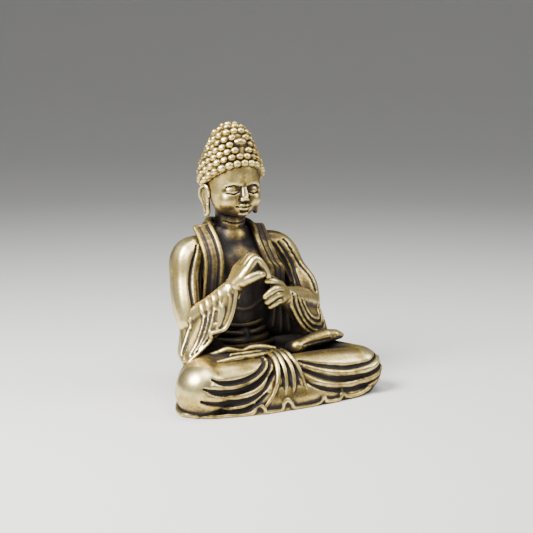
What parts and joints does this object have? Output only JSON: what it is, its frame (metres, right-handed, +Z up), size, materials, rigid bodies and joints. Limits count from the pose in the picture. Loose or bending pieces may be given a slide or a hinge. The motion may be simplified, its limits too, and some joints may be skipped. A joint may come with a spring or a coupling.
{
  "type": "seated buddha figure",
  "caption": "Small seated Buddha figure in aged brass, hands in front of the chest in a teaching gesture, robe folds over crossed legs, flat base",
  "frame": {"origin": "middle of the bounding box's lower face, on the surface the figure rests on", "axes": "+Z up along the height, -Y the way the figure faces, +X towards the figure's own left"},
  "size_m": [0.0378, 0.0256, 0.0448],
  "materials": {
    "brass": "cast brass, raised edges rubbed bright, dark brown patina in the hollows"
  },
  "bodies": {
    "root": {"base_plate": "brass", "lap": "brass", "front_drape": "brass", "lap_fold": "brass", "right_foot": "brass", "torso": "brass", "robe_collar": "brass", "waist_sash": "brass", "right_arm": "brass", "right_sleeve": "brass", "right_hand": "brass", "left_arm": "brass", "left_sleeve": "brass", "left_hand": "brass", "head": "brass", "right_ear": "brass", "left_ear": "brass", "hair_cap": "brass", "hair_curls": "brass", "crown_jewel": "brass"}
  },
  "joints": []
}
